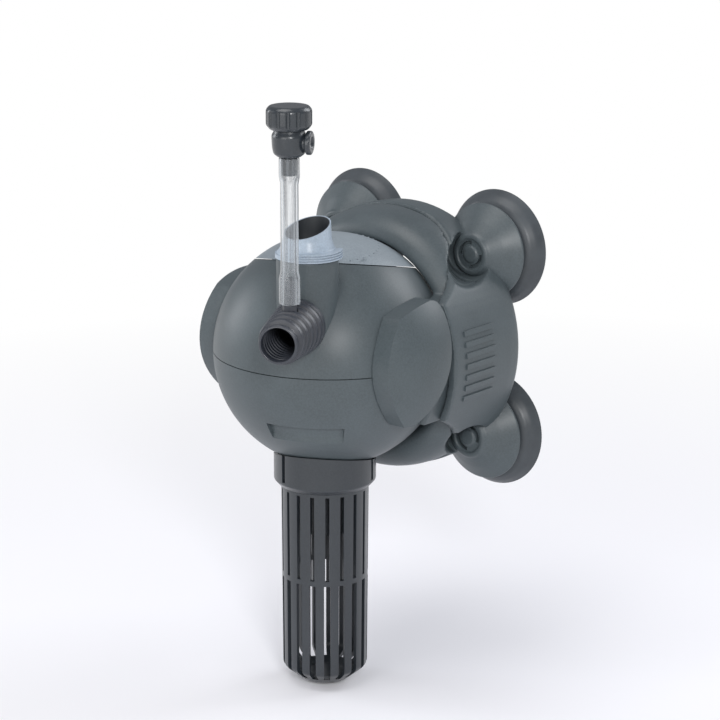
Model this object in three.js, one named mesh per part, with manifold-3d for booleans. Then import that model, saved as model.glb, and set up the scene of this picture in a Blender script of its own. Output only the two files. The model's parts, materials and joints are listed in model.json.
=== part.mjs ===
// Internal power filter for an aquarium: a ball-shaped pump in a cradle on a four-cup bracket,
// with a strainer below, and a nozzle, a flow regulator and an air line above.
// Units are millimetres. +Z is up and the glass lies behind the part, in the plane y = 0.
import * as THREE from "three";
import Module from "manifold-3d";
import { mergeVertices } from "three/addons/utils/BufferGeometryUtils.js";

const wasm = await Module();
wasm.setup();

// ---- driving dimensions ----
const GAP = 0.3; // between pieces that touch
const BALL_R = 40; // outside of the pump ball
const SHELL = 2.5; // its wall
const GLASS = 54.6; // from the ball's centre back to the glass
const BALL_UP = 2; // the ball's centre above the middle of the four cups
const PAN = 25.8; // how far the ball is turned in its cradle, in degrees

const CUP_X = 30; // suction cups, either side of the middle
const CUP_Z = 32.6; // and above and below it
const CUP_R = 20.2; // sealing rim
const CUP_LIP = 2; // width of the flat rim
const CUP_DISH = 3.6; // depth of the dish
const POST_TOP_R = 7; // bell-shaped post, at its front face
const POST_R = 16.5; // and at its shoulder
const POST_FRONT = 38; // behind the ball's centre
const POST_SHOULDER = 46.5;

const BOSS_R = 12.6; // solid round each post, with a scallop in front of it
const BOSS_FRONT = 30;
const SCOOP_R = 7.8; // scoop that leaves the front of each post open
const SCOOP_TURN = 40; // how far outwards the scoop points, in degrees

const DRUM_R = 46.8; // round body of the bracket
const DRUM_WALL = 3;
const DRUM_DROP = -1.5; // its centre below the ball's centre
const DRUM_BACK = 47;
const DRUM_FRONT = 35; // front edge of the drum at its top and bottom
const STRAP_FRONT = 9; // front edge of the drum at its sides
const STRAP_HALF = 20; // half the height of that edge
const BACK_HOLE_R = 34;

const SOCKET_R = BALL_R + 0.7; // inside of the cradle
const EAR_R = 47.8; // reach of the ears
const EAR_BULGE_R = 39; // radius of each ear's outer face
const PAD_R = 8;
const PAD_BACK = 43.2;
const PIN_R = 2.8;
const PIN_END = 45.5;

const CAP_TILT = 13; // the scale cap leans back, in degrees
const CAP_CUT = 29.2; // from the ball's centre to the plane of the cap's edge
const WELL_Y = -29.8; // outlet tower in front of the ball's centre
const WELL_R = 10.2;
const WELL_BORE = 8.5;
const WELL_TOP = 38.4;
const NOZZLE_Z = 18;
const NOZZLE_ROOT = 43.4;
const NOZZLE_TIP = 66;
const NOZZLE_BORE = 5.3;
const TUBE_Y = -51.5; // air line, in front of the ball's centre
const TUBE_R = 2.9;
const TUBE_BORE = 2;
const TUBE_FLARE_R = 3.45;
const TUBE_LOW = 28;
const TUBE_HIGH = 75.2;
const KNOB_R = 7.3;
const KNOB_LOW = 84.2;
const KNOB_HIGH = 91.8;

const GLAND_Z = 8; // where the mains lead enters the back of the ball
const AXIS_Y = -7.5; // rotor, intake and strainer share this upright axis
const STUB_R = 13;
const STUB_LOW = -42.2;
const COLLAR_R = 17.5;
const COLLAR_LOW = -45.1;
const BASKET_R = 15;
const BASKET_WALL = 1.5;
const BASKET_LOW = -116.2;
const SLOTS = 18;
const PIPE_R = 8.8;
const PIPE_BORE = 7.4;
const PIPE_LOW = -61.8;
const CAN_R = 10.4; // rotor can
const CAN_BORE = 9.2;
const CAN_TOP = 25;
const ROTOR_R = 8.2;
const SHAFT_R = 1.25;
const RUNNING = 0.1; // clearance of what spins on the shaft

const DARK = { color: 0x53585b, roughness: 0.5, metalness: 0 };
const LIGHT = { color: 0x9fabb0, roughness: 0.4, metalness: 0 };
const RUBBER = { color: 0x4a4f54, roughness: 0.6, metalness: 0 };
const SEAL = { color: 0x1d1e20, roughness: 0.7, metalness: 0 };
const CLEAR = { color: 0xdfe6ea, roughness: 0.1, metalness: 0, transparent: true, opacity: 0.4 };
const STEEL = { color: 0x8a8d90, roughness: 0.4, metalness: 1 };
const COPPER = { color: 0xb0623a, roughness: 0.35, metalness: 1 };
const MAGNET = { color: 0x2b2b2e, roughness: 0.6, metalness: 0.3 };
const CERAMIC = { color: 0xe9e6dd, roughness: 0.3, metalness: 0 };

// ---- shapes ----
const rad = THREE.MathUtils.degToRad;

// A geometry as a solid, turned right side out.
function solid(geometry) {
  const bare = geometry.index ? geometry.toNonIndexed() : geometry.clone();
  bare.deleteAttribute("normal");
  bare.deleteAttribute("uv");
  const merged = mergeVertices(bare, 1e-4);
  const build = (triVerts) =>
    new wasm.Manifold(
      new wasm.Mesh({ numProp: 3, vertProperties: merged.attributes.position.array, triVerts }),
    );
  const faces = new Uint32Array(merged.index.array);
  const made = build(faces);
  return made.volume() < 0 ? build(faces.slice().reverse()) : made;
}

function geometryOf(made) {
  const mesh = made.getMesh();
  const geometry = new THREE.BufferGeometry();
  geometry.setAttribute("position", new THREE.Float32BufferAttribute(mesh.vertProperties, 3));
  geometry.setIndex(Array.from(mesh.triVerts));
  return geometry;
}

// A profile of [radius, height] points turned about +Z.
function turned(profile, segments = 20) {
  const points = profile.map(([r, z]) => new THREE.Vector2(r, z));
  return new THREE.LatheGeometry(points, segments).rotateX(Math.PI / 2);
}

const closed = (profile) => [...profile, profile[0]];
const rod = (r, low, high, segments = 20) =>
  turned([[0, low], [r, low], [r, high], [0, high]], segments);
const ring = (outer, inner, low, high, segments = 20) =>
  turned(closed([[inner, low], [outer, low], [outer, high], [inner, high]]), segments);
const alongY = (geometry) => geometry.rotateX(-Math.PI / 2); // +Z to +Y
const alongX = (geometry) => geometry.rotateY(Math.PI / 2); // +Z to +X
const sphere = (r, across = 28, up = 14) =>
  new THREE.SphereGeometry(r, across, up).rotateX(Math.PI / 2);
const box = (x0, x1, y0, y1, z0, z1) =>
  new THREE.BoxGeometry(x1 - x0, y1 - y0, z1 - z0).translate(
    (x0 + x1) / 2,
    (y0 + y1) / 2,
    (z0 + z1) / 2,
  );

// A flat outline pushed along +Z from low to high.
function slab(shape, low, high, curveSegments = 6) {
  const settings = { depth: high - low, bevelEnabled: false, curveSegments };
  return new THREE.ExtrudeGeometry(shape, settings).translate(0, 0, low);
}

// Part of a ring between two angles, in degrees from +X.
function sector(outer, inner, from, to, low, high, steps = 6) {
  const shape = new THREE.Shape();
  shape.absarc(0, 0, outer, rad(from), rad(to), false);
  shape.absarc(0, 0, inner, rad(to), rad(from), true);
  return slab(shape, low, high, steps);
}

// ---- scene graph ----
const part = new THREE.Group();
const holder = new THREE.Group(); // ball-centred, square to the glass
holder.position.set(0, -GLASS, BALL_UP);
const head = new THREE.Group(); // ball-centred, turned with the ball: -Y is its front
head.position.copy(holder.position);
head.rotation.z = rad(PAN);
part.add(holder, head);

function add(group, name, shape, look) {
  const geometry = shape.isBufferGeometry ? shape : geometryOf(shape);
  const mesh = new THREE.Mesh(geometry, new THREE.MeshStandardMaterial(look));
  mesh.name = name;
  group.add(mesh);
}

// ---- bracket and cradle ----
// The side view of an ear, as y and z: a bowed front edge, and a slanting back edge.
function earOutline() {
  const shape = new THREE.Shape();
  shape.moveTo(-11.5, -17.5);
  shape.quadraticCurveTo(-28.5, 0.5, -13, 19);
  shape.quadraticCurveTo(-5, 22.4, 3.2, 22.6);
  shape.quadraticCurveTo(8, 22.4, 8.2, 17.7);
  shape.quadraticCurveTo(8.6, -4, -7.5, -17.6);
  shape.closePath();
  return shape;
}

// An outline in y and z pushed along X, on both sides.
const acrossX = (shape, from, to) =>
  slab(shape, from, to).rotateX(Math.PI / 2).rotateZ(Math.PI / 2);

// What is cut from the front of the drum and of the dome round it: deep at the sides' front edge, and
// slanting back to the top and bottom.
function frontCutter() {
  const far = 60;
  const corner = DRUM_FRONT;
  const shape = new THREE.Shape();
  shape.moveTo(-far, -far);
  shape.lineTo(DRUM_FRONT, -far);
  shape.lineTo(corner, -42);
  shape.quadraticCurveTo(25, -27, STRAP_FRONT, -STRAP_HALF);
  shape.lineTo(STRAP_FRONT, STRAP_HALF);
  shape.quadraticCurveTo(25, 27, corner, 42);
  shape.lineTo(DRUM_FRONT, far);
  shape.lineTo(-far, far);
  return solid(acrossX(shape, -far, far));
}

// Round the axis of each post: a rod along Y, joined into one solid.
function roundPosts(r, from, to) {
  const rods = cupPlaces().map(([x, z]) => solid(alongY(rod(r, from, to)).translate(x, 0, z)));
  return rods.reduce((all, one) => all.add(one));
}

// A slanting rod in front of each post, which ends just behind its front face.
function scoops(r) {
  const rods = cupPlaces().map(([x, z]) => {
    const slanting = alongY(rod(r, -60, 8)).rotateZ(rad(SCOOP_TURN) * Math.sign(x));
    return solid(slanting.translate(x, POST_FRONT, z));
  });
  const behind = solid(box(-80, 80, POST_FRONT + 1.5, 80, -80, 80));
  return rods.reduce((all, one) => all.add(one)).subtract(behind);
}

function bracket() {
  const inner = DRUM_R - DRUM_WALL;
  const drum = alongY(ring(DRUM_R, inner, 4, DRUM_BACK, 36)).translate(0, 0, DRUM_DROP);
  const plate = alongY(ring(inner + 1, BACK_HOLE_R, 43.2, 45.7, 36)).translate(0, 0, DRUM_DROP);
  const full = solid(alongY(rod(DRUM_R, BOSS_FRONT, DRUM_BACK, 36)).translate(0, 0, DRUM_DROP));
  let made = solid(drum).add(solid(plate)).subtract(frontCutter());
  made = made.add(roundPosts(BOSS_R, BOSS_FRONT, DRUM_BACK).intersect(full));
  made = made.subtract(solid(sphere(SOCKET_R + 2.2)));
  made = made.subtract(solid(acrossX(earOutline(), -60, 60)));
  made = made.subtract(scoops(SCOOP_R));
  const bell = [[0, POST_FRONT], [POST_TOP_R - 0.8, POST_FRONT], [POST_TOP_R, POST_FRONT + 0.8],
    [POST_R, POST_SHOULDER], [POST_R, DRUM_BACK], [0, DRUM_BACK]];
  const hollow = [[0, POST_FRONT + 2.2], [3.9, POST_FRONT + 2.2], [3.9, POST_FRONT + 4.2],
    [7.4, POST_FRONT + 4.2], [POST_R - 1.8, POST_SHOULDER], [POST_R - 1.8, 60], [0, 60]];
  for (const [x, z] of cupPlaces()) {
    made = made.add(solid(alongY(turned(bell)).translate(x, 0, z)));
  }
  for (const [x, z] of cupPlaces()) {
    made = made.subtract(solid(alongY(turned(hollow)).translate(x, 0, z)));
    for (const start of z > 0 ? [-5, 175] : [-85, 95]) {
      const slot = sector(4.8, 3.6, start, start + 100, POST_FRONT - 1, POST_FRONT + 3, 4);
      made = made.subtract(solid(alongY(slot).translate(x, 0, z)));
    }
  }
  const cordWay = box(-5, 5, 36, 60, -60, -38);
  return made.subtract(solid(cordWay));
}

const cupPlaces = () =>
  [[-1, 1], [1, 1], [-1, -1], [1, -1]].map(([x, z]) => [x * CUP_X, z * CUP_Z - BALL_UP]);

function suctionCup() {
  const front = POST_FRONT + 2.2 + GAP;
  const profile = [[0, front], [3.5, front], [3.5, front + 2.2], [7, front + 2.2],
    [POST_R - 2.2, POST_SHOULDER + 0.2], [POST_R - 2.2, DRUM_BACK + GAP], [POST_R - 1, DRUM_BACK + GAP],
    [CUP_R - 1.6, 51.2], [CUP_R, GLASS - 0.6], [CUP_R, GLASS], [CUP_R - CUP_LIP, GLASS],
    [12, GLASS - CUP_DISH + 1.1], [6, GLASS - CUP_DISH + 0.2], [0, GLASS - CUP_DISH]];
  return alongY(turned(profile, 20));
}

function cradle() {
  const skirt = DRUM_R - DRUM_WALL - GAP;
  const dome = closed([[BACK_HOLE_R - 1, 22], [37.2, 17.6], [41.5, 19], [44.6, 22.5], [46.2, 27.5],
    [DRUM_R - GAP, DRUM_FRONT - GAP], [skirt, DRUM_FRONT - GAP], [skirt, POST_FRONT - 0.6],
    [skirt - 2.2, POST_FRONT - 0.6], [skirt - 2.2, 30], [BACK_HOLE_R - 1, 30]]);
  let made = solid(alongY(turned(dome, 36)).translate(0, 0, DRUM_DROP));
  const arm = solid(alongY(rod(skirt, 2, 30, 36)).translate(0, 0, DRUM_DROP));
  const band = solid(box(-60, 60, 2, 30, -20.5, 20.5));
  made = made.add(arm.intersect(band));
  const bulge = (side) => solid(sphere(EAR_BULGE_R).translate(side * (EAR_R - EAR_BULGE_R), 0, 0));
  const ears = bulge(-1).add(bulge(1)).intersect(solid(acrossX(earOutline(), -60, 60)));
  made = made.subtract(roundPosts(BOSS_R + GAP, BOSS_FRONT - GAP, 60));
  made = made.subtract(scoops(SCOOP_R + GAP)).add(ears).subtract(solid(sphere(SOCKET_R)));
  made = made.subtract(solid(alongX(rod(PAD_R + 0.4, -PAD_BACK - 0.4, PAD_BACK + 0.4, 20))));
  made = made.subtract(solid(alongX(rod(PIN_R + 0.3, -PIN_END - 0.4, PIN_END + 0.4, 16))));
  made = made.subtract(solid(alongY(rod(BACK_HOLE_R, 0, 60, 36)).translate(0, 0, DRUM_DROP)));
  const wall = solid(alongY(ring(DRUM_R + 1, skirt, 4, DRUM_BACK, 36)).translate(0, 0, DRUM_DROP));
  return made.subtract(wall.subtract(frontCutter().translate([0, -3 * GAP, 0])));
}

// A soft pad that grips the ball and turns on a pin in its ear.
function earPad(side) {
  const disc = solid(alongX(rod(PAD_R, 30, PAD_BACK, 20)));
  const pin = solid(alongX(rod(PIN_R, PAD_BACK - 1, PIN_END, 16)));
  const pad = disc.add(pin).subtract(solid(sphere(BALL_R + 0.6)));
  return geometryOf(pad).rotateZ(side < 0 ? Math.PI : 0);
}

// ---- pump ball ----
const ballShell = () => solid(sphere(BALL_R)).subtract(solid(sphere(BALL_R - SHELL)));
// Everything above the plane of the scale cap's edge, moved along its normal by a shift.
const aboveCap = (shift = 0) =>
  solid(box(-60, 60, -60, 60, CAP_CUT + shift, CAP_CUT + 60).rotateX(-rad(CAP_TILT)));

function upperShell() {
  const dome = ballShell().subtract(aboveCap(-GAP / 2));
  const tower = solid(rod(WELL_R, GAP / 2, WELL_TOP, 20).translate(0, WELL_Y, 0));
  const well = solid(rod(WELL_BORE, -60, 60, 20).translate(0, WELL_Y, 0));
  const port = solid(alongY(rod(6, -60, WELL_Y, 20)).translate(0, 0, NOZZLE_Z));
  const glandHole = solid(alongY(rod(4.3, 30, 60, 16)).translate(0, 0, GLAND_Z));
  const lower = solid(box(-60, 60, -60, 60, -60, GAP / 2));
  return dome.add(tower).subtract(well).subtract(port).subtract(glandHole).subtract(lower);
}

function scaleCap() {
  const towerRoom = solid(rod(WELL_R + 0.4, 0, 60, 20).translate(0, WELL_Y, 0));
  return ballShell().intersect(aboveCap(GAP / 2)).subtract(towerRoom);
}

function lowerShell() {
  const bowl = ballShell().subtract(solid(box(-60, 60, -60, 60, -GAP / 2, 60)));
  const stub = solid(rod(STUB_R, STUB_LOW, -34, 20).translate(0, AXIS_Y, 0));
  const bore = solid(rod(STUB_R - 2, -60, -20, 20).translate(0, AXIS_Y, 0));
  const grip = solid(sector(BALL_R + 2, BALL_R - 5.6, -112, -68, -27, -18, 4));
  const whole = solid(sphere(BALL_R - 1.2));
  return bowl.subtract(grip.subtract(whole)).add(stub).subtract(bore);
}

function shellSeal() {
  const profile = Array.from({ length: 7 }, (_, i) => {
    const a = (i % 6) * (Math.PI / 3);
    return [36.35 + 0.8 * Math.cos(a), -2 + 0.8 * Math.sin(a)];
  });
  return turned(profile, 28);
}

function rotorCan() {
  const plate = solid(rod(35.2, -3, -1, 40));
  const well = solid(rod(CAN_R, -2, CAN_TOP, 24).translate(0, AXIS_Y, 0));
  const bore = solid(rod(CAN_BORE, -5, CAN_TOP - 1.2, 24).translate(0, AXIS_Y, 0));
  const outlet = solid(rod(WELL_BORE - 1.5, -5, 0, 24).translate(0, WELL_Y + 1.5, 0));
  return plate.add(well).subtract(bore).subtract(outlet);
}

function rotorShaft() {
  return rod(SHAFT_R, -19.6, CAN_TOP - 1.6, 12).translate(0, AXIS_Y, 0);
}

const bush = (outer, low, high) => ring(outer, SHAFT_R + GAP, low, high, 16).translate(0, AXIS_Y, 0);

// Two curved pole legs round the can, joined by a yoke behind it.
function statorCore() {
  const legs = solid(box(-19, 19, -19, 26, 0.8, 16.8));
  const bore = solid(rod(CAN_R + GAP, 0, 20, 24).translate(0, AXIS_Y, 0));
  const mouth = solid(box(-6, 6, -30, AXIS_Y, 0, 20));
  const window = solid(box(-11, 11, 4, 20, 0, 20));
  return legs.subtract(bore).subtract(mouth).subtract(window);
}

function statorCoil(side) {
  const [inner, outer] = [8.2, 21.6];
  const winding = solid(box(inner, outer, 8.6, 19.4, -0.4, 18.6));
  const leg = solid(box(11 - GAP, 19 + GAP, 0, 30, 0.8 - GAP, 16.8 + GAP));
  return geometryOf(winding.subtract(leg)).translate(side < 0 ? -inner - outer : 0, 0, 0);
}

function voluteHousing() {
  const [top, floor] = [-3.3, -20.6];
  const drum = solid(rod(16, floor, top, 20).translate(0, AXIS_Y, 0));
  const duct = solid(box(-8.5, 8.5, -38, -14, -14, top));
  const room = solid(rod(14.5, floor + 1.6, 0, 20).translate(0, AXIS_Y, 0));
  const ductRoom = solid(box(-7, 7, -32.6, -14, -12.4, 0));
  const eye = solid(rod(6.4, -30, 0, 24).translate(0, AXIS_Y, 0));
  let made = drum.add(duct).intersect(solid(sphere(BALL_R - SHELL - 0.5)));
  made = made.subtract(room).subtract(ductRoom).subtract(eye);
  for (const turn of [0, 120, 240]) {
    const spoke = box(2.9, 7, -0.7, 0.7, floor, floor + 1.6).rotateZ(rad(turn));
    made = made.add(solid(spoke.translate(0, AXIS_Y, 0)));
  }
  const holder = solid(ring(3.6, SHAFT_R + 0.1 + GAP, floor, floor + 1.6, 16).translate(0, AXIS_Y, 0));
  return made.add(holder);
}

function impeller() {
  const hub = solid(ring(3.2, SHAFT_R + RUNNING, -17, -3.4, 16));
  const disc = solid(ring(11.8, 2.4, -6.4, -5, 20));
  let made = hub.add(disc);
  for (let i = 0; i < 6; i += 1) {
    const blade = box(2.6, 11.4, -0.6, 0.6, -15.4, -6).rotateZ(rad(60 * i));
    made = made.add(solid(blade));
  }
  return geometryOf(made).translate(0, AXIS_Y, 0);
}

function rotorMagnet() {
  return ring(ROTOR_R, SHAFT_R + RUNNING, -3, 20.6, 24).translate(0, AXIS_Y, 0);
}

function intakePipe() {
  const [flangeR, flangeLow, flangeHigh, top] = [STUB_R - 2.4, -38, -36, -21];
  const profile = closed([[PIPE_BORE, PIPE_LOW], [PIPE_R, PIPE_LOW], [PIPE_R, flangeLow],
    [flangeR, flangeLow], [flangeR, flangeHigh], [PIPE_R, flangeHigh], [PIPE_R, top], [PIPE_BORE, top]]);
  return turned(profile, 24).translate(0, AXIS_Y, 0);
}

// Where the mains lead enters the ball.
function cableGland() {
  const [bore, inside, outside, end] = [2.4, 36, BALL_R + 0.4, 48];
  const profile = closed([[bore, inside], [4, inside], [4, outside], [5.8, outside],
    [5.8, outside + 1.6], [4.6, outside + 2], [3.6, end], [bore, end]]);
  return alongY(turned(profile, 20)).translate(0, 0, GLAND_Z);
}

// ---- outlet ----
// It turns in the tower: a window lets water out, and the scooped mouth and the tab stand above.
function regulatorSleeve() {
  const outer = WELL_BORE - GAP;
  const inner = outer - 1.3;
  const seat = WELL_TOP + GAP;
  const mouthTop = 52;
  const tube = turned(closed([[inner, 9], [outer, 9], [outer, seat], [WELL_R, seat], [WELL_R, seat + 1.3],
    [8.9, seat + 3.1], [7.9, 45], [7.6, mouthTop], [6.6, mouthTop], [6.8, 45], [6.9, seat + 1.5],
    [inner, seat + 1.5]]), 20);
  const web = solid(rod(outer - 0.5, WELL_TOP - 0.6, WELL_TOP + 0.8, 20));
  const window = solid(box(-5.6, 5.6, -12, 0, 11.5, 24.5));
  const tab = solid(sector(11.6, 9.6, -95, 12, seat, WELL_TOP + 3.2));
  const slant = box(-20, 20, -20, 20, 0, 20).rotateX(rad(20)).rotateZ(rad(-30));
  const scoop = solid(slant.translate(0, 0, 48.2));
  const made = solid(tube).add(web).add(tab).subtract(window).subtract(scoop);
  return geometryOf(made).translate(0, WELL_Y, 0);
}

const forward = (geometry) => geometry.rotateX(Math.PI / 2).translate(0, 0, NOZZLE_Z); // +Z to -Y

function outletNozzle() {
  const ribs = 5;
  const profile = [[NOZZLE_BORE, 38.6], [5.7, 38.6], [5.7, 41.2], [6.6, 41.2], [6.6, NOZZLE_ROOT]];
  const pitch = (NOZZLE_TIP - 2 - NOZZLE_ROOT) / ribs;
  for (let i = 0; i < ribs; i += 1) {
    const at = NOZZLE_ROOT + i * pitch;
    const crest = 8.1 - 0.4 * i;
    profile.push([crest, at + 0.4], [crest, at + pitch * 0.5], [crest - 1, at + pitch * 0.7]);
  }
  profile.push([6.1, NOZZLE_TIP - 1.6], [6.1, NOZZLE_TIP], [NOZZLE_BORE, NOZZLE_TIP]);
  const body = solid(forward(turned(closed(profile), 18)));
  const seat = solid(rod(2.4 + GAP, NOZZLE_Z, 40, 14).translate(0, TUBE_Y, 0));
  return body.subtract(seat);
}

const nozzleRing = () => forward(ring(9, 7, WELL_R - WELL_Y + GAP, 43, 20));

function airSpigot() {
  const [bore, barb, base, top] = [1.1, 1.75, NOZZLE_Z + NOZZLE_BORE + 0.1, 36.6];
  const profile = closed([[bore, base], [2.3, base], [2.3, TUBE_LOW - 0.4], [barb, TUBE_LOW + 0.4],
    [barb, top - 1.2], [1.5, top], [bore, top]]);
  return turned(profile, 14).translate(0, TUBE_Y, 0);
}

function airTube() {
  const profile = closed([[TUBE_BORE, TUBE_LOW], [TUBE_FLARE_R, TUBE_LOW], [TUBE_FLARE_R, 36.2],
    [TUBE_R, 38.6], [TUBE_R, 67], [TUBE_FLARE_R - 0.1, 69], [TUBE_FLARE_R - 0.1, TUBE_HIGH],
    [TUBE_BORE, TUBE_HIGH]]);
  return turned(profile, 16).translate(0, TUBE_Y, 0);
}

// The valve's body: a barb in the tube's end, and a side inlet.
function valveBody() {
  const [barb, barbLow, inletZ, neckTop] = [1.7, 69.4, 80.2, 86];
  const outside = solid(turned([[0, barbLow], [barb, barbLow], [barb, TUBE_HIGH + GAP],
    [3.9, TUBE_HIGH + GAP], [5, 76.6], [5.6, 82.4], [4.2, 83.6], [4.2, neckTop], [0, neckTop]], 20));
  const inlet = solid(alongX(rod(3.8, 0, 7.4, 18)).translate(0, 0, inletZ));
  const mouth = solid(alongX(rod(1.1, 0, 10, 10)).translate(0, 0, inletZ));
  const seat = solid(rod(1.75, 77, 90, 12));
  const way = solid(rod(1, 60, 80, 10));
  const made = outside.add(inlet).subtract(mouth).subtract(seat).subtract(way);
  return geometryOf(made).translate(0, TUBE_Y, 0);
}

function airKnob() {
  const flutes = 14;
  const profile = [[0, KNOB_LOW + 2.4], [4.6, KNOB_LOW + 2.4], [4.6, KNOB_LOW], [6, KNOB_LOW],
    [KNOB_R, KNOB_LOW + 1.6], [KNOB_R, KNOB_HIGH - 0.7], [KNOB_R - 0.8, KNOB_HIGH], [0, KNOB_HIGH]];
  let made = solid(turned(profile, 20));
  for (let i = 0; i < flutes; i += 1) {
    const cut = rod(0.7, KNOB_LOW - 1, KNOB_HIGH - 1, 6).translate(KNOB_R + 0.2, 0, 0);
    made = made.subtract(solid(cut.rotateZ((i * 2 * Math.PI) / flutes)));
  }
  const socket = solid(rod(1.6, 80, KNOB_HIGH - 2.6, 12));
  return geometryOf(made.subtract(socket)).translate(0, TUBE_Y, 0);
}

function airNeedle() {
  const profile = [[0, 77.4], [1.3, 79.6], [1.3, KNOB_HIGH - 3], [0, KNOB_HIGH - 3]];
  return turned(profile, 12).translate(0, TUBE_Y, 0);
}

// ---- strainer ----
function strainerCollar() {
  const [seat, grip, top, step] = [BASKET_R + 0.4, STUB_R + 0.4, -30, -42.4];
  const profile = closed([[seat, COLLAR_LOW], [COLLAR_R - 1, COLLAR_LOW], [COLLAR_R, COLLAR_LOW + 1.2],
    [COLLAR_R, top], [grip, top], [grip, step], [seat, step]]);
  let made = solid(turned(profile, 24).translate(0, AXIS_Y, 0)).subtract(solid(sphere(BALL_R + 0.5)));
  for (const turn of [-8.8, 111.2, 231.2]) {
    const slit = box(10, 20, -0.8, 0.8, step, -20).rotateZ(rad(turn));
    made = made.subtract(solid(slit.translate(0, AXIS_Y, 0)));
  }
  return made;
}

function strainerBasket() {
  const inner = BASKET_R - BASKET_WALL;
  const top = -42.8;
  const profile = [[0, BASKET_LOW], [8, BASKET_LOW], [BASKET_R - 0.4, -110.8], [BASKET_R, top],
    [inner, top], [inner - 0.2, -110.2], [7.2, BASKET_LOW + 1.6], [0, BASKET_LOW + 1.6]];
  let made = solid(turned(profile, 24));
  const rows = [[0.7, -46.4, -76.4], [1.1, -78.2, -113.8]]; // half width, top and bottom of each row
  const phase = rad(7.7);
  for (const [half, high, low] of rows) {
    for (let i = 0; i < SLOTS; i += 1) {
      const slot = box(9.8, 20, -half, half, low, high).rotateZ((i * 2 * Math.PI) / SLOTS + phase);
      made = made.subtract(solid(slot));
    }
  }
  return geometryOf(made).translate(0, AXIS_Y, 0);
}

// ---- assembly ----
add(holder, "bracket", bracket(), DARK);
add(holder, "cradle", cradle(), DARK);
const cupNames = ["top_left", "top_right", "bottom_left", "bottom_right"];
cupPlaces().forEach(([x, z], i) => {
  add(holder, "suction_cup_" + cupNames[i], suctionCup().translate(x, 0, z), RUBBER);
});
add(holder, "ear_pad_left", earPad(-1), SEAL);
add(holder, "ear_pad_right", earPad(1), SEAL);

add(head, "upper_shell", upperShell(), DARK);
add(head, "lower_shell", lowerShell(), DARK);
add(head, "scale_cap", scaleCap(), LIGHT);
add(head, "shell_seal", shellSeal(), SEAL);
add(head, "rotor_can", rotorCan(), DARK);
add(head, "stator_core", statorCore(), STEEL);
add(head, "stator_coil_left", statorCoil(-1), COPPER);
add(head, "stator_coil_right", statorCoil(1), COPPER);
add(head, "volute_housing", voluteHousing(), DARK);
add(head, "rotor_shaft", rotorShaft(), CERAMIC);
add(head, "shaft_bush_top", bush(5, 20.9, 23.5), SEAL);
add(head, "shaft_bush_bottom", bush(3, -18.9, -17.3), SEAL);
add(head, "intake_pipe", intakePipe(), DARK);
add(head, "cable_gland", cableGland(), SEAL);
add(head, "nozzle_ring", nozzleRing(), DARK);
add(head, "regulator_sleeve", regulatorSleeve(), LIGHT);
add(head, "outlet_nozzle", outletNozzle(), DARK);
add(head, "air_spigot", airSpigot(), LIGHT);
add(head, "air_tube", airTube(), CLEAR);
add(head, "valve_body", valveBody(), DARK);
add(head, "air_knob", airKnob(), DARK);
add(head, "air_needle", airNeedle(), DARK);
add(head, "rotor_magnet", rotorMagnet(), MAGNET);
add(head, "impeller", impeller(), DARK);
add(head, "strainer_collar", strainerCollar(), DARK);
add(head, "strainer_basket", strainerBasket(), DARK);

export default part;
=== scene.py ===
"""Looks for a ball-shaped aquarium filter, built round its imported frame."""
import json
import math

import bmesh
import bpy
from bpy.props import FloatProperty, FloatVectorProperty, IntProperty, PointerProperty
from mathutils import Matrix, Vector


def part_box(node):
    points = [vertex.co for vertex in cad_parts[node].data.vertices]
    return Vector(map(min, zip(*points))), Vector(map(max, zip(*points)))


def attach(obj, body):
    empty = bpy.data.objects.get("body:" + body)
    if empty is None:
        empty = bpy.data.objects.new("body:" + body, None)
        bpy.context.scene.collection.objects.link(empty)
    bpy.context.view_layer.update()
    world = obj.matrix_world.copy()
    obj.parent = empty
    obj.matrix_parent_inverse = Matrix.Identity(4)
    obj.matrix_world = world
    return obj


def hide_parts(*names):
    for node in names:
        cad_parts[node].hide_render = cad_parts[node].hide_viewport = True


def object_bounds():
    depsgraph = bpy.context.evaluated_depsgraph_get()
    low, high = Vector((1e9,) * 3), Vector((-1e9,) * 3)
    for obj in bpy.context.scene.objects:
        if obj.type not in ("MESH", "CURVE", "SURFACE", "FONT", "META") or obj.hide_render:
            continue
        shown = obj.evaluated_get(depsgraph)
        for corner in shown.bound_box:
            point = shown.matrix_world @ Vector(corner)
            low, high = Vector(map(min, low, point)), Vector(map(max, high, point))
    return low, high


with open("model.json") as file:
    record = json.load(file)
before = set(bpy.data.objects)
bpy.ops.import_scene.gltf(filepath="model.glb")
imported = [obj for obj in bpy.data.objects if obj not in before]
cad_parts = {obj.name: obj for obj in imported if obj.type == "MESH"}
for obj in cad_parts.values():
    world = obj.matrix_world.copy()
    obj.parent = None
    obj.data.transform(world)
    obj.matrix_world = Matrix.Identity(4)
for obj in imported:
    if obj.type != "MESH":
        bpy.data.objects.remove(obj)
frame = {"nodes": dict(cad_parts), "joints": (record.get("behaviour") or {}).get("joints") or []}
CAD_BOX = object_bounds()

bl_info = {
    "name": "Aquarium ball filter",
    "version": (1, 0, 0),
    "blender": (4, 5, 0),
    "location": "View3D > Sidebar > Filter",
    "description": "Builds the fine surface of a ball-shaped aquarium filter",
    "category": "Mesh",
}

# ---- places, taken from the frame ----
MM = 0.001
JOINTS = {joint["name"]: joint for joint in frame["joints"]}
BALL = Vector(JOINTS["ball_tilt"]["pos_m"])
FORWARD = Vector(JOINTS["nozzle_turn"]["axis"])
PAN = math.atan2(FORWARD.x, -FORWARD.y)
HOLDER = Matrix.Translation(BALL) @ Matrix.Scale(MM, 4)
HEAD = Matrix.Translation(BALL) @ Matrix.Rotation(PAN, 4, "Z") @ Matrix.Scale(MM, 4)


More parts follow.
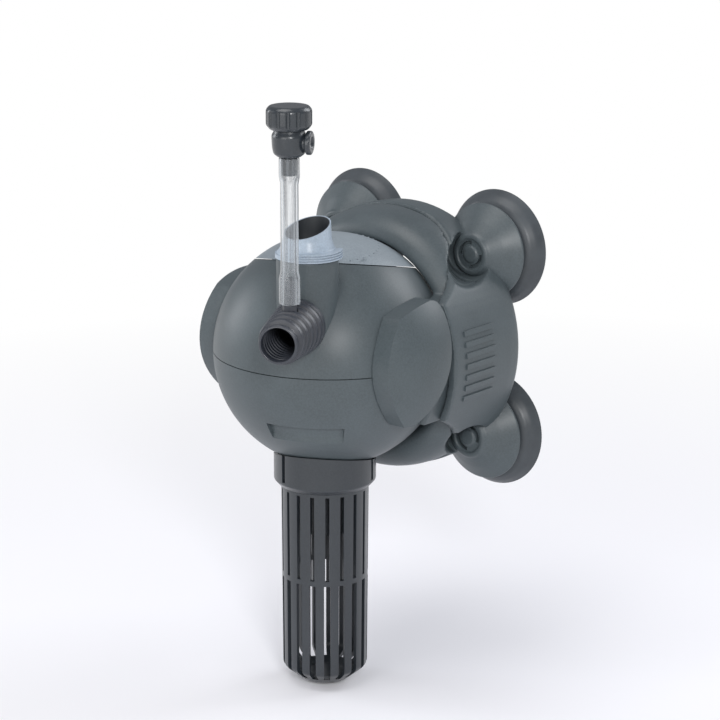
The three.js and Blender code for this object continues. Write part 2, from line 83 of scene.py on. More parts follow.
def ball_height(node, end):
    """The lowest (0) or highest (1) point of a CAD node, in millimetres from the ball's centre."""
    return (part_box(node)[end].z - BALL.z) / MM


def middle(node):
    """The middle of a CAD node, in millimetres from the ball's centre, along the holder's axes."""
    low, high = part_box(node)
    return (low + high) / 2 / MM - BALL / MM


def forward_of_ball(joint):
    """How far in front of the ball's centre an upright joint's axis stands, in millimetres."""
    reach = Vector(JOINTS[joint]["pos_m"]) - BALL
    return -Vector((reach.x, reach.y)).length / MM


BALL_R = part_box("lower_shell")[1].x / MM
GLASS = -BALL.y / MM
WELL_Y = forward_of_ball("regulator_turn")
TUBE_Y = forward_of_ball("air_knob_turn")
AXIS_Y = forward_of_ball("rotor_spin")
NOZZLE_Z = (JOINTS["nozzle_turn"]["pos_m"][2] - BALL.z) / MM
CUPS = [name for name in sorted(frame["nodes"]) if name.startswith("suction_cup")]
FULL_TURN = 2 * math.pi
GAP = 0.3


# ---- shapes, in millimetres ----
def soften(points, radius, steps=4, closed=False):
    """A line of points with its corners rounded off."""
    line = [Vector(point) for point in points]
    count = len(line)
    inner = range(count) if closed else range(1, count - 1)
    rounded = [] if closed else [line[0]]
    for i in inner:
        here, before, after = line[i], line[i - 1], line[(i + 1) % count]
        back, ahead = before - here, after - here
        start = here + back.normalized() * min(radius, back.length * 0.45)
        end = here + ahead.normalized() * min(radius, ahead.length * 0.45)
        for step in range(steps + 1):
            t = step / steps
            rounded.append(start * (1 - t) ** 2 + here * 2 * t * (1 - t) + end * t * t)
    return rounded if closed else rounded + [line[-1]]


def lathe(profile, closed=False, steps=96):
    """A profile of radius and height spun about the upright axis."""
    bm = bmesh.new()
    corners = [bm.verts.new((radius, 0, height)) for radius, height in profile]
    edges = [bm.edges.new(pair) for pair in zip(corners, corners[1:])]
    if closed:
        edges.append(bm.edges.new((corners[-1], corners[0])))
    bmesh.ops.spin(
        bm, geom=corners + edges, cent=(0, 0, 0), axis=(0, 0, 1), angle=FULL_TURN, steps=steps,
        use_merge=True,
    )
    bmesh.ops.remove_doubles(bm, verts=bm.verts, dist=1e-4)
    bmesh.ops.recalc_face_normals(bm, faces=bm.faces)
    return bm


def rod(radius, low, high, steps=96):
    return lathe([(0, low), (radius, low), (radius, high), (0, high)], steps=steps)


def ring(outer, inner, low, high, steps=96):
    return lathe([(inner, low), (outer, low), (outer, high), (inner, high)], closed=True, steps=steps)


def sphere(radius, across=144, up=72):
    bm = bmesh.new()
    bmesh.ops.create_uvsphere(bm, u_segments=across, v_segments=up, radius=radius)
    return bm


def block(x0, x1, y0, y1, z0, z1):
    bm = bmesh.new()
    bmesh.ops.create_cube(bm, size=1)
    bmesh.ops.scale(bm, vec=(x1 - x0, y1 - y0, z1 - z0), verts=bm.verts)
    bmesh.ops.translate(bm, vec=((x0 + x1) / 2, (y0 + y1) / 2, (z0 + z1) / 2), verts=bm.verts)
    return bm


def slab(outline, low, high):
    """A flat outline pushed up from low to high."""
    bm = bmesh.new()
    face = bm.faces.new([bm.verts.new((x, y, low)) for x, y in outline])
    grown = bmesh.ops.extrude_face_region(bm, geom=[face])["geom"]
    moved = [item for item in grown if isinstance(item, bmesh.types.BMVert)]
    bmesh.ops.translate(bm, vec=(0, 0, high - low), verts=moved)
    bmesh.ops.recalc_face_normals(bm, faces=bm.faces)
    return bm


def arc(radius, start, end, steps=32):
    """Points along a circle between two angles in degrees."""
    angles = [math.radians(start + (end - start) * i / steps) for i in range(steps + 1)]
    return [(radius * math.cos(a), radius * math.sin(a)) for a in angles]


def sector(outer, inner, start, end, low, high):
    return slab(arc(outer, start, end) + arc(inner, end, start), low, high)


def curve(start, bend, end, steps=16):
    """Points on a quadratic curve, without its first one."""
    a, b, c = Vector(start), Vector(bend), Vector(end)
    ts = [i / steps for i in range(1, steps + 1)]
    return [a * (1 - t) ** 2 + b * 2 * t * (1 - t) + c * t * t for t in ts]


def shift(bm, x=0, y=0, z=0):
    bmesh.ops.translate(bm, vec=(x, y, z), verts=bm.verts)
    return bm


def spun(bm, degrees, axis):
    bmesh.ops.rotate(bm, matrix=Matrix.Rotation(math.radians(degrees), 3, axis), verts=bm.verts)
    return bm


def along_y(bm):
    return spun(bm, -90, "X")


def along_x(bm):
    return spun(bm, 90, "Y")


def forward(bm):
    return spun(bm, 90, "X")


def solid(bm, name="work"):
    """A mesh object made from a bmesh."""
    mesh = bpy.data.meshes.new(name)
    bm.to_mesh(mesh)
    bm.free()
    made = bpy.data.objects.new(name, mesh)
    bpy.context.scene.collection.objects.link(made)
    return made


def bake(piece):
    """Applies a piece's modifiers."""
    bpy.context.view_layer.update()
    graph = bpy.context.evaluated_depsgraph_get()
    mesh = bpy.data.meshes.new_from_object(piece.evaluated_get(graph))
    old = piece.data
    piece.modifiers.clear()
    piece.data = mesh
    bpy.data.meshes.remove(old)
    return piece


def combine(piece, tool, operation):
    """Joins a tool to a piece, cuts it away or keeps what they share. The tool is used up."""
    cutter = solid(tool) if isinstance(tool, bmesh.types.BMesh) else tool
    change = piece.modifiers.new("shape", "BOOLEAN")
    change.object = cutter
    change.operation = operation
    change.solver = "MANIFOLD"
    bake(piece)
    bpy.data.objects.remove(cutter)
    return piece


def cut(piece, *tools):
    for tool in tools:
        combine(piece, tool, "DIFFERENCE")
    return piece


def join(piece, *tools):
    for tool in tools:
        combine(piece, tool, "UNION")
    return piece


def keep(piece, tool):
    return combine(piece, tool, "INTERSECT")


def together(parts):
    """Several separate shapes in one bmesh."""
    whole = bmesh.new()
    for part in parts:
        mesh = bpy.data.meshes.new("part")
        part.to_mesh(mesh)
        part.free()
        whole.from_mesh(mesh)
        bpy.data.meshes.remove(mesh)
    return whole


def remould(piece, voxel, rounds):
    """Gives a piece the soft edges of a moulding."""
    change = piece.modifiers.new("skin", "REMESH")
    change.mode = "VOXEL"
    change.voxel_size = voxel
    bake(piece)
    bm = bmesh.new()
    bm.from_mesh(piece.data)
    for _ in range(rounds):
        bmesh.ops.smooth_vert(
            bm, verts=bm.verts, factor=0.5, use_axis_x=True, use_axis_y=True, use_axis_z=True
        )
    bm.to_mesh(piece.data)
    bm.free()
    return piece


def carry(piece, y):
    """Moves a finished shape forwards or back."""
    piece.data.transform(Matrix.Translation((0, y, 0)))


def ease(piece, width, segments=2, angle=35):
    """Breaks a piece's sharp edges."""
    change = piece.modifiers.new("edge", "BEVEL")
    change.width = width
    change.segments = segments
    change.limit_method = "ANGLE"
    change.angle_limit = math.radians(angle)
    change.use_clamp_overlap = True
    return bake(piece)


def finish_piece(piece, name, place, body, nodes, material, crease=32):
    """Shades a piece, puts it in its place and hands it to its body."""
    piece.name = name
    piece.data.name = name
    piece.data.transform(place)
    for polygon in piece.data.polygons:
        polygon.use_smooth = True
    piece.data.set_sharp_from_angle(angle=math.radians(crease))
    change = piece.modifiers.new("shading", "WEIGHTED_NORMAL")
    change.keep_sharp = True
    bake(piece)
    piece.data.materials.clear()
    piece.data.materials.append(material)
    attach(piece, body)
    if nodes:
        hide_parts(*nodes)
    return piece


# ---- shader maths ----
class Value:
    """A socket, with arithmetic that adds Math nodes."""

    def __init__(self, graph, socket):
        self.graph = graph
        self.socket = socket

    def math(self, operation, a, b):
        return self.graph.node("ShaderNodeMath", {"operation": operation}, {0: a, 1: b})

    def __add__(self, other):
        return self.math("ADD", self, other)

    __radd__ = __add__

    def __mul__(self, other):
        return self.math("MULTIPLY", self, other)

    __rmul__ = __mul__

    def __sub__(self, other):
        return self.math("SUBTRACT", self, other)

    def __rsub__(self, other):
        return self.math("SUBTRACT", other, self)


class Graph:
    """A material's node tree."""

    def __init__(self, name):
        self.material = bpy.data.materials.new(name)
        self.material.use_nodes = True
        self.tree = self.material.node_tree
        self.tree.nodes.clear()

    def node(self, kind, settings=None, inputs=None, output=0):
        made = self.tree.nodes.new(kind)
        for key, value in (settings or {}).items():
            if key == "stops":
                self.set_stops(made.color_ramp, value)
            else:
                setattr(made, key, value)
        for key, value in (inputs or {}).items():
            if isinstance(value, Value):
                self.tree.links.new(value.socket, made.inputs[key])
            else:
                made.inputs[key].default_value = value
        return Value(self, made.outputs[output])

    @staticmethod
    def set_stops(ramp, stops):
        for element, (position, shade) in zip(ramp.elements, stops):
            element.position = position
            element.color = (shade, shade, shade, 1)

    def place(self):
        return self.node("ShaderNodeTexCoord", output="Object")

    def noise(self, scale, detail=3, roughness=0.5):
        inputs = {"Vector": self.place(), "Scale": scale, "Detail": detail, "Roughness": roughness}
        return self.node("ShaderNodeTexNoise", inputs=inputs)

    def outside(self, x, y, radius):
        """1 further than the radius from an upright axis, and 0 nearer."""
        level = self.node("ShaderNodeVectorMath", {"operation": "MULTIPLY"}, {0: self.place(), 1: (1, 1, 0)})
        place = {0: level, 1: (x, y, 0)}
        reach = self.node("ShaderNodeVectorMath", {"operation": "DISTANCE"}, place, output="Value")
        return self.ramp(reach * (0.5 / radius), 0.49, 0.505)

    def ramp(self, value, low, high, dark=0.0, light=1.0):
        stops = {"stops": [(low, dark), (high, light)]}
        return self.node("ShaderNodeValToRGB", stops, {"Fac": value})

    def mix(self, factor, a, b):
        sockets = {0: factor, 6: a, 7: b}
        return self.node("ShaderNodeMix", {"data_type": "RGBA"}, sockets, output=2)

    def bump(self, height, distance, strength=1.0, normal=None):
        inputs = {"Height": height, "Distance": distance, "Strength": strength}
        if normal:
            inputs["Normal"] = normal
        return self.node("ShaderNodeBump", inputs=inputs)

    def finish(self, **sockets):
        names = {key.replace("_", " "): value for key, value in sockets.items()}
        shader = self.node("ShaderNodeBsdfPrincipled", inputs=names)
        self.node_output(shader)
        return self.material

    def node_output(self, shader):
        made = self.tree.nodes.new("ShaderNodeOutputMaterial")
        self.tree.links.new(shader.socket, made.inputs["Surface"])


def tinted(colour, share):
    """A colour made lighter or darker."""
    return tuple(min(channel * share, 1) for channel in colour[:3]) + (1,)


def moulded(name, colour, roughness, grain=1.0, gloss=0.0, bore=None):
    """Moulded plastic: a fine grain, faint clouds and flow lines, and, if a bore is given, painted shade
    there: the inside of the bore painted nearly black.
    """
    graph = Graph(name)
    clouds = graph.ramp(graph.noise(38, 4, 0.6), 0.3, 0.72)
    speckle = graph.ramp(graph.noise(1500, 2, 0.7), 0.35, 0.68)
    base = graph.mix(clouds, tinted(colour, 0.84), tinted(colour, 1.14))
    base = graph.mix(speckle * 0.3, base, tinted(colour, 1.7))
    # painted shade: inside the given bore the colour is made nearly black, as shade falls in the hollow
    if bore:
        base = graph.mix(graph.outside(*bore), tinted(colour, 0.06), base)
    pebble = graph.noise(1900, 3, 0.6)
    fine = graph.bump(pebble, 0.00006, 0.55 * grain)
    wave = graph.bump(graph.noise(60, 2), 0.0006, 0.12, fine)
    rough = roughness - 0.07 + clouds * 0.1 + speckle * 0.05
    return graph.finish(Base_Color=base, Roughness=rough, Normal=wave, Coat_Weight=gloss, Coat_Roughness=0.2)


def rubber(name, colour, roughness):
    """Soft rubber with a faint bloom and shallow unevenness."""
    graph = Graph(name)
    bloom = graph.ramp(graph.noise(55, 5, 0.65), 0.34, 0.74)
    base = graph.mix(bloom, tinted(colour, 0.82), tinted(colour, 1.25))
    soft = graph.bump(graph.noise(900, 2, 0.6), 0.00004, 0.35)
    return graph.finish(Base_Color=base, Roughness=roughness + bloom * 0.12 - 0.05, Normal=soft)


def clear_plastic(name, colour):
    """A clear tube: grey and less clear where it is seen edge on, with fine streaks along it."""
    graph = Graph(name)
    facing = graph.node("ShaderNodeLayerWeight", inputs={"Blend": 0.5}, output="Facing")
    edge = graph.ramp(facing, 0.16, 0.66)
    drawn_out = {0: graph.place(), 1: (1, 1, 0.02)}
    drawn = graph.node("ShaderNodeVectorMath", {"operation": "MULTIPLY"}, drawn_out)
    streaks = graph.node("ShaderNodeTexNoise", inputs={"Vector": drawn, "Scale": 800, "Detail": 1})
    streaks = graph.ramp(streaks, 0.5, 0.56)
    return graph.finish(
        Base_Color=graph.mix(streaks, tinted(colour, 0.75), tinted(colour, 0.22)),
        Roughness=0.06 + streaks * 0.1, Alpha=0.14 + edge * 0.55 + streaks * 0.2, Coat_Weight=0.8,
        Coat_Roughness=0.04,
    )


def metal(name, colour, roughness, bands):
    """Metal with fine bands across it, as stacked sheets or wound wire have."""
    graph = Graph(name)
    inputs = {"Vector": graph.place(), "Scale": bands, "Distortion": 0.4}
    wave = graph.node("ShaderNodeTexWave", {"bands_direction": "Z"}, inputs)
    base = graph.mix(wave, tinted(colour, 0.7), tinted(colour, 1.1))
    return graph.finish(
        Base_Color=base, Metallic=1.0, Roughness=roughness, Normal=graph.bump(wave, 0.0001, 0.6)
    )


def finishes():
    """Every finish by name, made once."""
    colours = bpy.context.scene.filter_colours
    if "Grained dark plastic" in bpy.data.materials:
        return {key: bpy.data.materials[name] for key, name in FINISH_NAMES.items()}
    return {
        "dark": moulded(FINISH_NAMES["dark"], colours.dark, 0.43),
        "smooth_dark": moulded(FINISH_NAMES["smooth_dark"], colours.smooth_dark, 0.34, 0.35, 0.3),
        "nozzle": moulded(FINISH_NAMES["nozzle"], colours.nozzle, 0.4, 0.4, 0.15),
        "light": moulded(FINISH_NAMES["light"], colours.light, 0.42, 0.5),
        # the sleeve's bore gets painted shade, nearly black, inside its radius
        "sleeve": moulded(FINISH_NAMES["sleeve"], colours.sleeve, 0.42, 0.3, 0.1, SLEEVE_BORE_SHADE),
        "cup": rubber(FINISH_NAMES["cup"], colours.cup, 0.42),
        "seal": rubber(FINISH_NAMES["seal"], colours.seal, 0.6),
        "clear": clear_plastic(FINISH_NAMES["clear"], (0.72, 0.77, 0.82)),
        "steel": metal(FINISH_NAMES["steel"], (0.45, 0.46, 0.48), 0.35, 300),
        "copper": metal(FINISH_NAMES["copper"], (0.6, 0.24, 0.1), 0.3, 500),
        "ceramic": moulded(FINISH_NAMES["ceramic"], (0.8, 0.78, 0.72), 0.25, 0.2, 0.5),
        "magnet": moulded(FINISH_NAMES["magnet"], (0.03, 0.03, 0.034), 0.55, 1.2),
    }


# where the sleeve's bore gets painted shade: its upright axis and the radius inside which the colour is
# painted nearly black
SLEEVE_BORE_SHADE = (*JOINTS["regulator_turn"]["pos_m"][:2], 7.3 * MM)
FINISH_NAMES = {
    "dark": "Grained dark plastic", "smooth_dark": "Smooth dark plastic", "nozzle": "Nozzle plastic",
    "light": "Light cap plastic", "sleeve": "Light sleeve plastic", "cup": "Suction rubber",
    "seal": "Black seal rubber", "clear": "Clear tube", "steel": "Core sheets", "copper": "Wound wire",
    "ceramic": "Ceramic", "magnet": "Bonded magnet",
}


# ---- what a user would change ----
def size_property(label, description, default):
    return FloatProperty(name=label, description=description, default=default, min=0)


def colour_property(label, description, default):
    return FloatVectorProperty(
        name=label, description=description, default=default, size=3, subtype="COLOR", min=0, max=1
    )


class FILTER_PG_sizes(bpy.types.PropertyGroup):
    shell: size_property("Shell", "Wall of the ball, in mm", 2.5)
    tower_r: size_property("Tower radius", "Outside of the outlet tower, in mm", 10.2)
    tower_bore: size_property("Tower bore", "Inside of the outlet tower, in mm", 8.5)
    tower_top: size_property("Tower top", "Height of the tower above the ball's middle, in mm", 38.4)
    cap_cut: size_property("Cap cut", "From the ball's middle to the plane of the cap's edge, in mm", 29.2)
    cap_tilt: size_property("Cap tilt", "How far the cap leans back, in degrees", 13)
    drum_r: size_property("Drum radius", "Round body of the bracket, in mm", 46.8)
    nozzle_bore: size_property("Nozzle bore", "Inside of the nozzle, in mm", 5.3)
    basket_r: size_property("Basket radius", "Outside of the strainer, in mm", 15)
    ribs: IntProperty(name="Ribs", description="Ribs round the nozzle", default=5, min=1)
    slots: IntProperty(name="Slots", description="Slots in each row of the strainer", default=18, min=3)
    flutes: IntProperty(name="Flutes", description="Grooves round the air knob", default=14, min=3)
    voxel: size_property("Grain of the mouldings", "Voxel of the bracket and cradle, in mm", 0.6)


class FILTER_PG_colours(bpy.types.PropertyGroup):
    dark: colour_property("Dark plastic", "Ball, cradle and bracket", (0.059, 0.074, 0.082))
    smooth_dark: colour_property("Smooth dark plastic", "Strainer and air valve", (0.02, 0.025, 0.031))
    nozzle: colour_property("Nozzle", "Ribbed nozzle", (0.028, 0.032, 0.042))
    light: colour_property("Cap", "Light cap on the ball", (0.2, 0.232, 0.26))
    sleeve: colour_property("Sleeve", "Flow regulator", (0.31, 0.37, 0.44))
    cup: colour_property("Cups", "Suction cups", (0.046, 0.054, 0.062))
    seal: colour_property("Seals", "Seals, pads and cable gland", (0.02, 0.02, 0.022))


class FILTER_PG_studio(bpy.types.PropertyGroup):
    azimuth: size_property("Azimuth", "Camera to the right of the front, in degrees", 40.37)
    elevation: size_property("Elevation", "Camera above the horizon, in degrees", 14.89)
    distance: FloatProperty(name="Distance", description="Camera to ball", default=0.85, unit="LENGTH")
    lens: size_property("Lens", "Focal length, in mm", 124.7)
    key: size_property("Key", "Power of the large lamp, in watts", 17.6)


# ---- operators ----
class PieceOperator:
    """What the operators share."""

    bl_options = {"REGISTER", "UNDO"}

    def execute(self, context):
        self.build(context.scene.filter_sizes, finishes())
        return {"FINISHED"}


def cup_places():
    """Each cup's name and the middle of its post, across and up from the ball's centre."""
    return [(name, middle(name).x, middle(name).z) for name in CUPS]


# ---- the bracket and the cradle, in millimetres back from the ball's centre, or out from an axis ----
POST_FRONT = 38.0  # flat end of a post
POST_BUTTON_R = 7.3
POST_R = 16.5
POST_SHOULDER = 46.5
DRUM_DROP = -1.5  # its centre below the ball's
DRUM_WALL = 3.0
DRUM_FRONT = 35.0  # its edge at top and bottom
DRUM_BACK = 47.0
STRAP_FRONT = 9.0  # its edge at the sides
STRAP_HALF = 20.0
BACK_HOLE_R = 34.0
BOSS_R = 12.6
BOSS_FRONT = 34.5
SCOOP_R = 7.8
SCOOP_TURN = 40.0  # degrees outwards
SCOOP_END = POST_FRONT + 1.5
EAR_R = 47.8
EAR_BULGE_R = 39.0
SOCKET_R = 40.7
DOME_SOCKET_R = BALL_R + 0.4
FAR = 60  # past the whole filter


def ear_outline():
    """The side view of an ear, as y and z."""
    points = curve((-11.5, -17.5), (-28.5, 0.5), (-13, 19))
    points += curve((-13, 19), (-5, 22.4), (3.2, 22.6), 6)
    points += curve((3.2, 22.6), (8, 22.4), (8.2, 17.7), 8)
    points += curve((8.2, 17.7), (8.6, -4), (-7.5, -17.6))
    return points + [Vector((-11.5, -17.5))]


def across_x(outline, low, high):
    """An outline in y and z, pushed along x."""
    return spun(spun(slab(outline, low, high), 90, "X"), 90, "Z")


def ear_slab(low, high):
    return across_x(ear_outline(), low, high)


def front_cutter():
    """What is missing from the front of the drum: much at its sides, less at its top and bottom."""
    strap, bend, corner = (STRAP_FRONT, STRAP_HALF), (25, 27), (DRUM_FRONT, 42)
    upper = [strap] + curve(strap, bend, corner) + [(DRUM_FRONT, FAR)]
    lower = [(y, -z) for y, z in reversed(upper)]
    return across_x([(-FAR, -FAR)] + lower + upper + [(-FAR, FAR)], -FAR, FAR)


def scoops(radius):
    """A slanting rod in front of each post, which ends just behind its front face."""
    rods = []
    for _, x, z in cup_places():
        slanting = spun(along_y(rod(radius, -60, 8)), math.copysign(SCOOP_TURN, x), "Z")
        rods.append(shift(slanting, x=x, y=POST_FRONT, z=z))
    return cut(solid(together(rods)), block(-80, 80, SCOOP_END, 80, -80, 80))


def round_posts(radius, low, high):
    """A rod at each post."""
    return together([shift(along_y(rod(radius, low, high, 64)), x=x, z=z) for _, x, z in cup_places()])


def drum_part(bm):
    """Turns an upright shape onto the drum's axis."""
    return shift(along_y(bm), z=DRUM_DROP)


def merge(first, second):
    """Two mesh objects as one, without joining their surfaces."""
    bm = bmesh.new()
    bm.from_mesh(first.data)
    bm.from_mesh(second.data)
    bm.to_mesh(first.data)
    bm.free()
    bpy.data.objects.remove(second)
    return first


class FILTER_OT_bracket(PieceOperator, bpy.types.Operator):
    """The round bracket and its four bell-shaped posts"""

    bl_idname = "filter.bracket"
    bl_label = "Bracket"

    def post(self, x, z):
        profile = [(0, POST_FRONT), (2.6, POST_FRONT), (3, POST_FRONT + 0.5), (5.2, POST_FRONT + 0.5)]
        profile += [(5.6, POST_FRONT), (6.9, POST_FRONT + 0.15), (7.6, POST_FRONT + 1.1)]
        profile += [(11.5, POST_FRONT + 4.1)]
        profile += [(POST_R, POST_SHOULDER), (POST_R, DRUM_BACK), (POST_R - 1.8, DRUM_BACK)]
        profile += [(POST_R - 1.8, POST_SHOULDER), (7.4, POST_FRONT + 4.2), (3.9, POST_FRONT + 4.2)]
        profile += [(3.9, POST_FRONT + 2.2), (0, POST_FRONT + 2.2)]
        made = solid(shift(along_y(lathe(soften(profile, 0.5))), x=x, z=z))
        for start in (-5, 175) if z > 0 else (-85, 95):
            slot = sector(4.8, 3.6, start, start + 100, POST_FRONT - 1, POST_FRONT + 2)
            cut(made, shift(along_y(slot), x=x, z=z))
        return made

    def bars(self, sizes):
        """Plain raised bars down each side."""
        count, pitch, width = 7, 4.6, 2.2
        bars = []
        for side in (0, 180):
            for i in range(count):
                start = side + (i - (count - 1) / 2) * pitch - width / 2
                bar = sector(sizes.drum_r + 0.55, sizes.drum_r - 1, start, start + width, 15, 31)
                bars.append(drum_part(bar))
        return ease(solid(together(bars)), 0.3, 3)

    def build(self, sizes, finish):
        inner = sizes.drum_r - DRUM_WALL
        wall = [(inner, 4), (sizes.drum_r, 4), (sizes.drum_r, 40), (sizes.drum_r - 0.4, 45)]
        wall += [(sizes.drum_r - 2, DRUM_BACK), (inner, DRUM_BACK)]
        drum = solid(drum_part(lathe(soften(wall, 1.2, closed=True), closed=True)))
        join(drum, drum_part(ring(inner + 1, BACK_HOLE_R, 43.2, 45.7)))
        cut(drum, front_cutter())
        bosses = keep(solid(round_posts(BOSS_R, BOSS_FRONT, 45)), drum_part(rod(sizes.drum_r, 10, 45)))
        join(drum, bosses)
        cut(drum, sphere(SOCKET_R + 2.2), ear_slab(-FAR, FAR), scoops(SCOOP_R))
        cut(drum, round_posts(POST_R - 2, POST_SHOULDER - 1, 60), block(-5, 5, 36, 60, -60, -38))
        cut(drum, round_posts(POST_BUTTON_R, POST_FRONT - 3, 46))
        remould(drum, sizes.voxel, 4)
        merge(drum, self.bars(sizes))
        for _, x, z in cup_places():
            merge(drum, self.post(x, z))
        finish_piece(drum, "bracket_moulding", HOLDER, "holder", ["bracket"], finish["dark"])


class FILTER_OT_cradle(PieceOperator, bpy.types.Operator):
    """The cradle: a dome round the back of the ball, and two ears that hug it"""

    bl_idname = "filter.cradle"
    bl_label = "Cradle"

    def build(self, sizes, finish):
        skirt = sizes.drum_r - DRUM_WALL - GAP
        edge, end = DRUM_FRONT - GAP, POST_FRONT - 0.6
        dome = [(BACK_HOLE_R - 1, 22), (37.2, 17.6), (41.5, 19), (44.6, 22.5), (46.2, 27.5)]
        dome += [(sizes.drum_r - GAP, edge), (skirt, edge), (skirt, end)]
        dome += [(skirt - 2.2, end), (skirt - 2.2, 30), (BACK_HOLE_R - 1, 30)]
        made = solid(drum_part(lathe(soften(dome, 3, 6, closed=True), closed=True)))
        arm = keep(solid(drum_part(rod(skirt, 2, 30))), block(-FAR, FAR, 2, 30, -20.5, 20.5))
        join(made, arm)
        cut(made, round_posts(BOSS_R + GAP, BOSS_FRONT - GAP, FAR))
        cut(made, scoops(SCOOP_R), sphere(DOME_SOCKET_R), drum_part(rod(BACK_HOLE_R, 0, FAR)))
        wall = solid(drum_part(ring(sizes.drum_r + 1, skirt, 4, DRUM_BACK)))
        cut(wall, shift(front_cutter(), y=-GAP))
        combine(made, wall, "DIFFERENCE")
        remould(made, sizes.voxel, 4)
        merge(made, self.ears())
        finish_piece(made, "cradle_moulding", HOLDER, "holder", ["cradle"], finish["dark"])

    def ears(self):
        """Both ears, with a flat front edge and a soft ridge beside it."""
        reach = EAR_R - EAR_BULGE_R
        ears = solid(shift(sphere(EAR_BULGE_R), x=reach))
        join(ears, shift(sphere(EAR_BULGE_R), x=-reach))
        keep(ears, ear_slab(-FAR, FAR))
        cut(ears, sphere(SOCKET_R, 192, 96), block(-20, 20, -FAR, FAR, -FAR, FAR))
        return ease(ears, 0.9, 4, 40)


class FILTER_OT_cups(PieceOperator, bpy.types.Operator):
    """The four suction cups"""

    bl_idname = "filter.cups"
    bl_label = "Suction cups"

    def build(self, sizes, finish):
        rim, lip = 20.2, 2.0
        back = POST_R - 1
        profile = [(0, POST_FRONT + 2.5), (3.5, POST_FRONT + 2.5), (3.5, POST_FRONT + 4.7)]
        profile += [(7, POST_FRONT + 4.7), (POST_R - 2.2, POST_SHOULDER + 0.2), (POST_R - 2.2, 48.4)]
        profile += [(back - 0.4, 48.6)]
        profile += [(17, 49.6), (rim - 1.5, 51.6), (rim - 0.4, GLASS - 1), (rim, GLASS - 0.4), (rim, GLASS)]
        profile += [(rim - lip, GLASS), (12, GLASS - 2.5), (6, GLASS - 3.4), (0, GLASS - 3.6)]
        for name, x, z in cup_places():
            cup = solid(shift(along_y(lathe(soften(profile, 0.7))), x=x, z=z))
            finish_piece(cup, name + "_rubber", HOLDER, "holder", [name], finish["cup"])


def above_cap(sizes, gap):
    """Everything above the plane of the cap's edge."""
    return spun(block(-60, 60, -60, 60, sizes.cap_cut + gap, 90), -sizes.cap_tilt, "X")


def ball_wall(sizes):
    return cut(solid(sphere(BALL_R)), sphere(BALL_R - sizes.shell))


class FILTER_OT_upper_shell(PieceOperator, bpy.types.Operator):
    """The upper half of the ball, with the outlet tower"""

    bl_idname = "filter.upper_shell"
    bl_label = "Upper shell"

    def build(self, sizes, finish):
        made = ball_wall(sizes)
        half = GAP / 2
        radius, top = sizes.tower_r, sizes.tower_top
        tower = lathe(soften([(0, 1), (radius, 1), (radius, top), (0, top)], 0.5))
        cut(made, above_cap(sizes, -half))
        join(made, shift(tower, y=WELL_Y))
        cut(made, shift(rod(sizes.tower_bore, -60, 60), y=WELL_Y))
        cut(made, shift(along_y(rod(6, -60, WELL_Y)), z=NOZZLE_Z), shift(along_y(rod(4.3, 30, 60)), z=8))
        cut(made, block(-60, 60, -60, 60, -60, half))
        parting = spun(block(-0.06, 0.06, -42, -39.85, half - 1, 19), 24.5, "Z")
        cut(made, parting)
        ease(made, 0.18)
        finish_piece(made, "upper_ball", HEAD, "ball", ["upper_shell"], finish["dark"])


class FILTER_OT_lower_shell(PieceOperator, bpy.types.Operator):
    """The lower half of the ball, with the finger grip and the intake stub"""

    bl_idname = "filter.lower_shell"
    bl_label = "Lower shell"

    def build(self, sizes, finish):
        made = ball_wall(sizes)
        cut(made, block(-60, 60, -60, 60, -GAP / 2, 60))
        sloping_floor = shift(sphere(BALL_R), y=4.5, z=-4.9)
        grip = cut(solid(sector(BALL_R + 2, BALL_R - 8, -112, -68, -27, -18)), sloping_floor)
        combine(made, grip, "DIFFERENCE")
        join(made, shift(rod(13, -42.2, -34), y=AXIS_Y))
        cut(made, shift(rod(11, -60, -20), y=AXIS_Y))
        ease(made, 0.18)
        finish_piece(made, "lower_ball", HEAD, "ball", ["lower_shell"], finish["dark"])


class FILTER_OT_scale_cap(PieceOperator, bpy.types.Operator):
    """The light cap on the ball, with its raised scale of dots"""

    bl_idname = "filter.scale_cap"
    bl_label = "Scale cap"

    def build(self, sizes, finish):
        made = keep(ball_wall(sizes), above_cap(sizes, GAP / 2))
        cut(made, shift(rod(sizes.tower_r + 0.4, 0, 60), y=WELL_Y))
        ease(made, 0.2)
        marks = []
        for i in range(15):
            lean = math.radians(11 + 9.2 * i)
            reach = Vector((math.sin(lean) * 17, math.cos(lean) * 17 - 3))
            marks.append(self.dot(reach, 0.42))
        for x in (-14.5, 14.5):
            marks.append(self.bar(x, -13, 2.6, 0.5))
        marks.append(self.bar(14.5, -13, 0.5, 2.6))
        merge(made, solid(together(marks)))
        finish_piece(made, "light_cap", HEAD, "ball", ["scale_cap"], finish["light"])

    @staticmethod
    def height(x, y):
        return math.sqrt(BALL_R ** 2 - x * x - y * y)

    def dot(self, place, radius):
        bm = bmesh.new()
        bmesh.ops.create_uvsphere(bm, u_segments=12, v_segments=8, radius=radius)
        bmesh.ops.scale(bm, vec=(1, 1, 0.5), verts=bm.verts)
        return shift(bm, place.x, place.y, self.height(place.x, place.y) - 0.02)

    def bar(self, x, y, wide, deep):
        top = self.height(x, y)
        return block(x - wide / 2, x + wide / 2, y - deep / 2, y + deep / 2, top - 0.6, top + 0.05)


